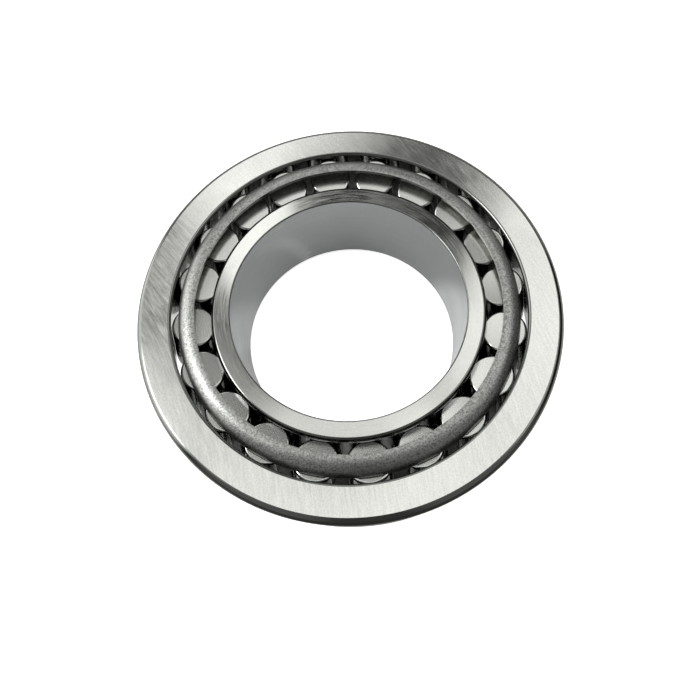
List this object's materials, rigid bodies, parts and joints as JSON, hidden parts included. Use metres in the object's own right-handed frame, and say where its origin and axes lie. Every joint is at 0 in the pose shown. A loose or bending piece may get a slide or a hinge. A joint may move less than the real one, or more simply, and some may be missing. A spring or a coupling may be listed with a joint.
{
  "type": "tapered roller bearing",
  "caption": "Metric tapered roller bearing: loose outer ring, ribbed inner ring, pressed sheet cage and tapered rollers that share one apex, for a shaft with radial and axial load.",
  "frame": {"origin": "on the bearing's axis, in the plane of the inner ring's back face, which it stands on", "axes": "+Z along the bearing's axis, from the inner ring's back face towards the outer ring's back face and the rollers' small ends; +X through the axis of the first roller"},
  "size_m": [0.16, 0.16, 0.044],
  "materials": {
    "outer_ring_steel": "ground",
    "inner_ring_steel": "ground",
    "cage_sheet": "matte, tumbled",
    "roller_steel": "superfinished"
  },
  "bodies": {
    "outer_ring": {"outer_ring": "outer_ring_steel"},
    "inner_ring": {"inner_ring": "inner_ring_steel"},
    "cage": {"cage": "cage_sheet"},
    "roller_01": {"roller_01": "roller_steel"},
    "roller_02": {"roller_02": "roller_steel"},
    "roller_03": {"roller_03": "roller_steel"},
    "roller_04": {"roller_04": "roller_steel"},
    "roller_05": {"roller_05": "roller_steel"},
    "roller_06": {"roller_06": "roller_steel"},
    "roller_07": {"roller_07": "roller_steel"},
    "roller_08": {"roller_08": "roller_steel"},
    "roller_09": {"roller_09": "roller_steel"},
    "roller_10": {"roller_10": "roller_steel"},
    "roller_11": {"roller_11": "roller_steel"},
    "roller_12": {"roller_12": "roller_steel"},
    "roller_13": {"roller_13": "roller_steel"},
    "roller_14": {"roller_14": "roller_steel"},
    "roller_15": {"roller_15": "roller_steel"},
    "roller_16": {"roller_16": "roller_steel"},
    "roller_17": {"roller_17": "roller_steel"},
    "roller_18": {"roller_18": "roller_steel"},
    "roller_19": {"roller_19": "roller_steel"},
    "roller_20": {"roller_20": "roller_steel"}
  },
  "joints": [
    {"name": "outer_ring_spin", "type": "hinge", "parent": "inner_ring", "child": "outer_ring", "pos_m": [0, 0, 0], "axis": [0, 0, 1], "continuous": true},
    {"name": "cage_spin", "type": "hinge", "parent": "inner_ring", "child": "cage", "pos_m": [0, 0, 0], "axis": [0, 0, 1], "continuous": true},
    {"name": "roller_01_spin", "type": "hinge", "parent": "cage", "child": "roller_01", "pos_m": [0.06257, 0, 0.02352], "axis": [-0.2376, 0, 0.9714], "continuous": true},
    {"name": "roller_02_spin", "type": "hinge", "parent": "cage", "child": "roller_02", "pos_m": [0.05951, 0.01934, 0.02352], "axis": [-0.226, -0.0734, 0.9714], "continuous": true},
    {"name": "roller_03_spin", "type": "hinge", "parent": "cage", "child": "roller_03", "pos_m": [0.05062, 0.03678, 0.02352], "axis": [-0.1923, -0.1397, 0.9714], "continuous": true},
    {"name": "roller_04_spin", "type": "hinge", "parent": "cage", "child": "roller_04", "pos_m": [0.03678, 0.05062, 0.02352], "axis": [-0.1397, -0.1923, 0.9714], "continuous": true},
    {"name": "roller_05_spin", "type": "hinge", "parent": "cage", "child": "roller_05", "pos_m": [0.01934, 0.05951, 0.02352], "axis": [-0.0734, -0.226, 0.9714], "continuous": true},
    {"name": "roller_06_spin", "type": "hinge", "parent": "cage", "child": "roller_06", "pos_m": [0, 0.06257, 0.02352], "axis": [0, -0.2376, 0.9714], "continuous": true},
    {"name": "roller_07_spin", "type": "hinge", "parent": "cage", "child": "roller_07", "pos_m": [-0.01934, 0.05951, 0.02352], "axis": [0.0734, -0.226, 0.9714], "continuous": true},
    {"name": "roller_08_spin", "type": "hinge", "parent": "cage", "child": "roller_08", "pos_m": [-0.03678, 0.05062, 0.02352], "axis": [0.1397, -0.1923, 0.9714], "continuous": true},
    {"name": "roller_09_spin", "type": "hinge", "parent": "cage", "child": "roller_09", "pos_m": [-0.05062, 0.03678, 0.02352], "axis": [0.1923, -0.1397, 0.9714], "continuous": true},
    {"name": "roller_10_spin", "type": "hinge", "parent": "cage", "child": "roller_10", "pos_m": [-0.05951, 0.01934, 0.02352], "axis": [0.226, -0.0734, 0.9714], "continuous": true},
    {"name": "roller_11_spin", "type": "hinge", "parent": "cage", "child": "roller_11", "pos_m": [-0.06257, 0, 0.02352], "axis": [0.2376, 0, 0.9714], "continuous": true},
    {"name": "roller_12_spin", "type": "hinge", "parent": "cage", "child": "roller_12", "pos_m": [-0.05951, -0.01934, 0.02352], "axis": [0.226, 0.0734, 0.9714], "continuous": true},
    {"name": "roller_13_spin", "type": "hinge", "parent": "cage", "child": "roller_13", "pos_m": [-0.05062, -0.03678, 0.02352], "axis": [0.1923, 0.1397, 0.9714], "continuous": true},
    {"name": "roller_14_spin", "type": "hinge", "parent": "cage", "child": "roller_14", "pos_m": [-0.03678, -0.05062, 0.02352], "axis": [0.1397, 0.1923, 0.9714], "continuous": true},
    {"name": "roller_15_spin", "type": "hinge", "parent": "cage", "child": "roller_15", "pos_m": [-0.01934, -0.05951, 0.02352], "axis": [0.0734, 0.226, 0.9714], "continuous": true},
    {"name": "roller_16_spin", "type": "hinge", "parent": "cage", "child": "roller_16", "pos_m": [0, -0.06257, 0.02352], "axis": [0, 0.2376, 0.9714], "continuous": true},
    {"name": "roller_17_spin", "type": "hinge", "parent": "cage", "child": "roller_17", "pos_m": [0.01934, -0.05951, 0.02352], "axis": [-0.0734, 0.226, 0.9714], "continuous": true},
    {"name": "roller_18_spin", "type": "hinge", "parent": "cage", "child": "roller_18", "pos_m": [0.03678, -0.05062, 0.02352], "axis": [-0.1397, 0.1923, 0.9714], "continuous": true},
    {"name": "roller_19_spin", "type": "hinge", "parent": "cage", "child": "roller_19", "pos_m": [0.05062, -0.03678, 0.02352], "axis": [-0.1923, 0.1397, 0.9714], "continuous": true},
    {"name": "roller_20_spin", "type": "hinge", "parent": "cage", "child": "roller_20", "pos_m": [0.05951, -0.01934, 0.02352], "axis": [-0.226, 0.0734, 0.9714], "continuous": true}
  ],
  "couplings": [
    {"joint": "cage_spin", "follows": "outer_ring_spin", "ratio": 0.56761},
    {"joint": "roller_01_spin", "follows": "outer_ring_spin", "ratio": 3.5259},
    {"joint": "roller_02_spin", "follows": "outer_ring_spin", "ratio": 3.5259},
    {"joint": "roller_03_spin", "follows": "outer_ring_spin", "ratio": 3.5259},
    {"joint": "roller_04_spin", "follows": "outer_ring_spin", "ratio": 3.5259},
    {"joint": "roller_05_spin", "follows": "outer_ring_spin", "ratio": 3.5259},
    {"joint": "roller_06_spin", "follows": "outer_ring_spin", "ratio": 3.5259},
    {"joint": "roller_07_spin", "follows": "outer_ring_spin", "ratio": 3.5259},
    {"joint": "roller_08_spin", "follows": "outer_ring_spin", "ratio": 3.5259},
    {"joint": "roller_09_spin", "follows": "outer_ring_spin", "ratio": 3.5259},
    {"joint": "roller_10_spin", "follows": "outer_ring_spin", "ratio": 3.5259},
    {"joint": "roller_11_spin", "follows": "outer_ring_spin", "ratio": 3.5259},
    {"joint": "roller_12_spin", "follows": "outer_ring_spin", "ratio": 3.5259},
    {"joint": "roller_13_spin", "follows": "outer_ring_spin", "ratio": 3.5259},
    {"joint": "roller_14_spin", "follows": "outer_ring_spin", "ratio": 3.5259},
    {"joint": "roller_15_spin", "follows": "outer_ring_spin", "ratio": 3.5259},
    {"joint": "roller_16_spin", "follows": "outer_ring_spin", "ratio": 3.5259},
    {"joint": "roller_17_spin", "follows": "outer_ring_spin", "ratio": 3.5259},
    {"joint": "roller_18_spin", "follows": "outer_ring_spin", "ratio": 3.5259},
    {"joint": "roller_19_spin", "follows": "outer_ring_spin", "ratio": 3.5259},
    {"joint": "roller_20_spin", "follows": "outer_ring_spin", "ratio": 3.5259}
  ]
}
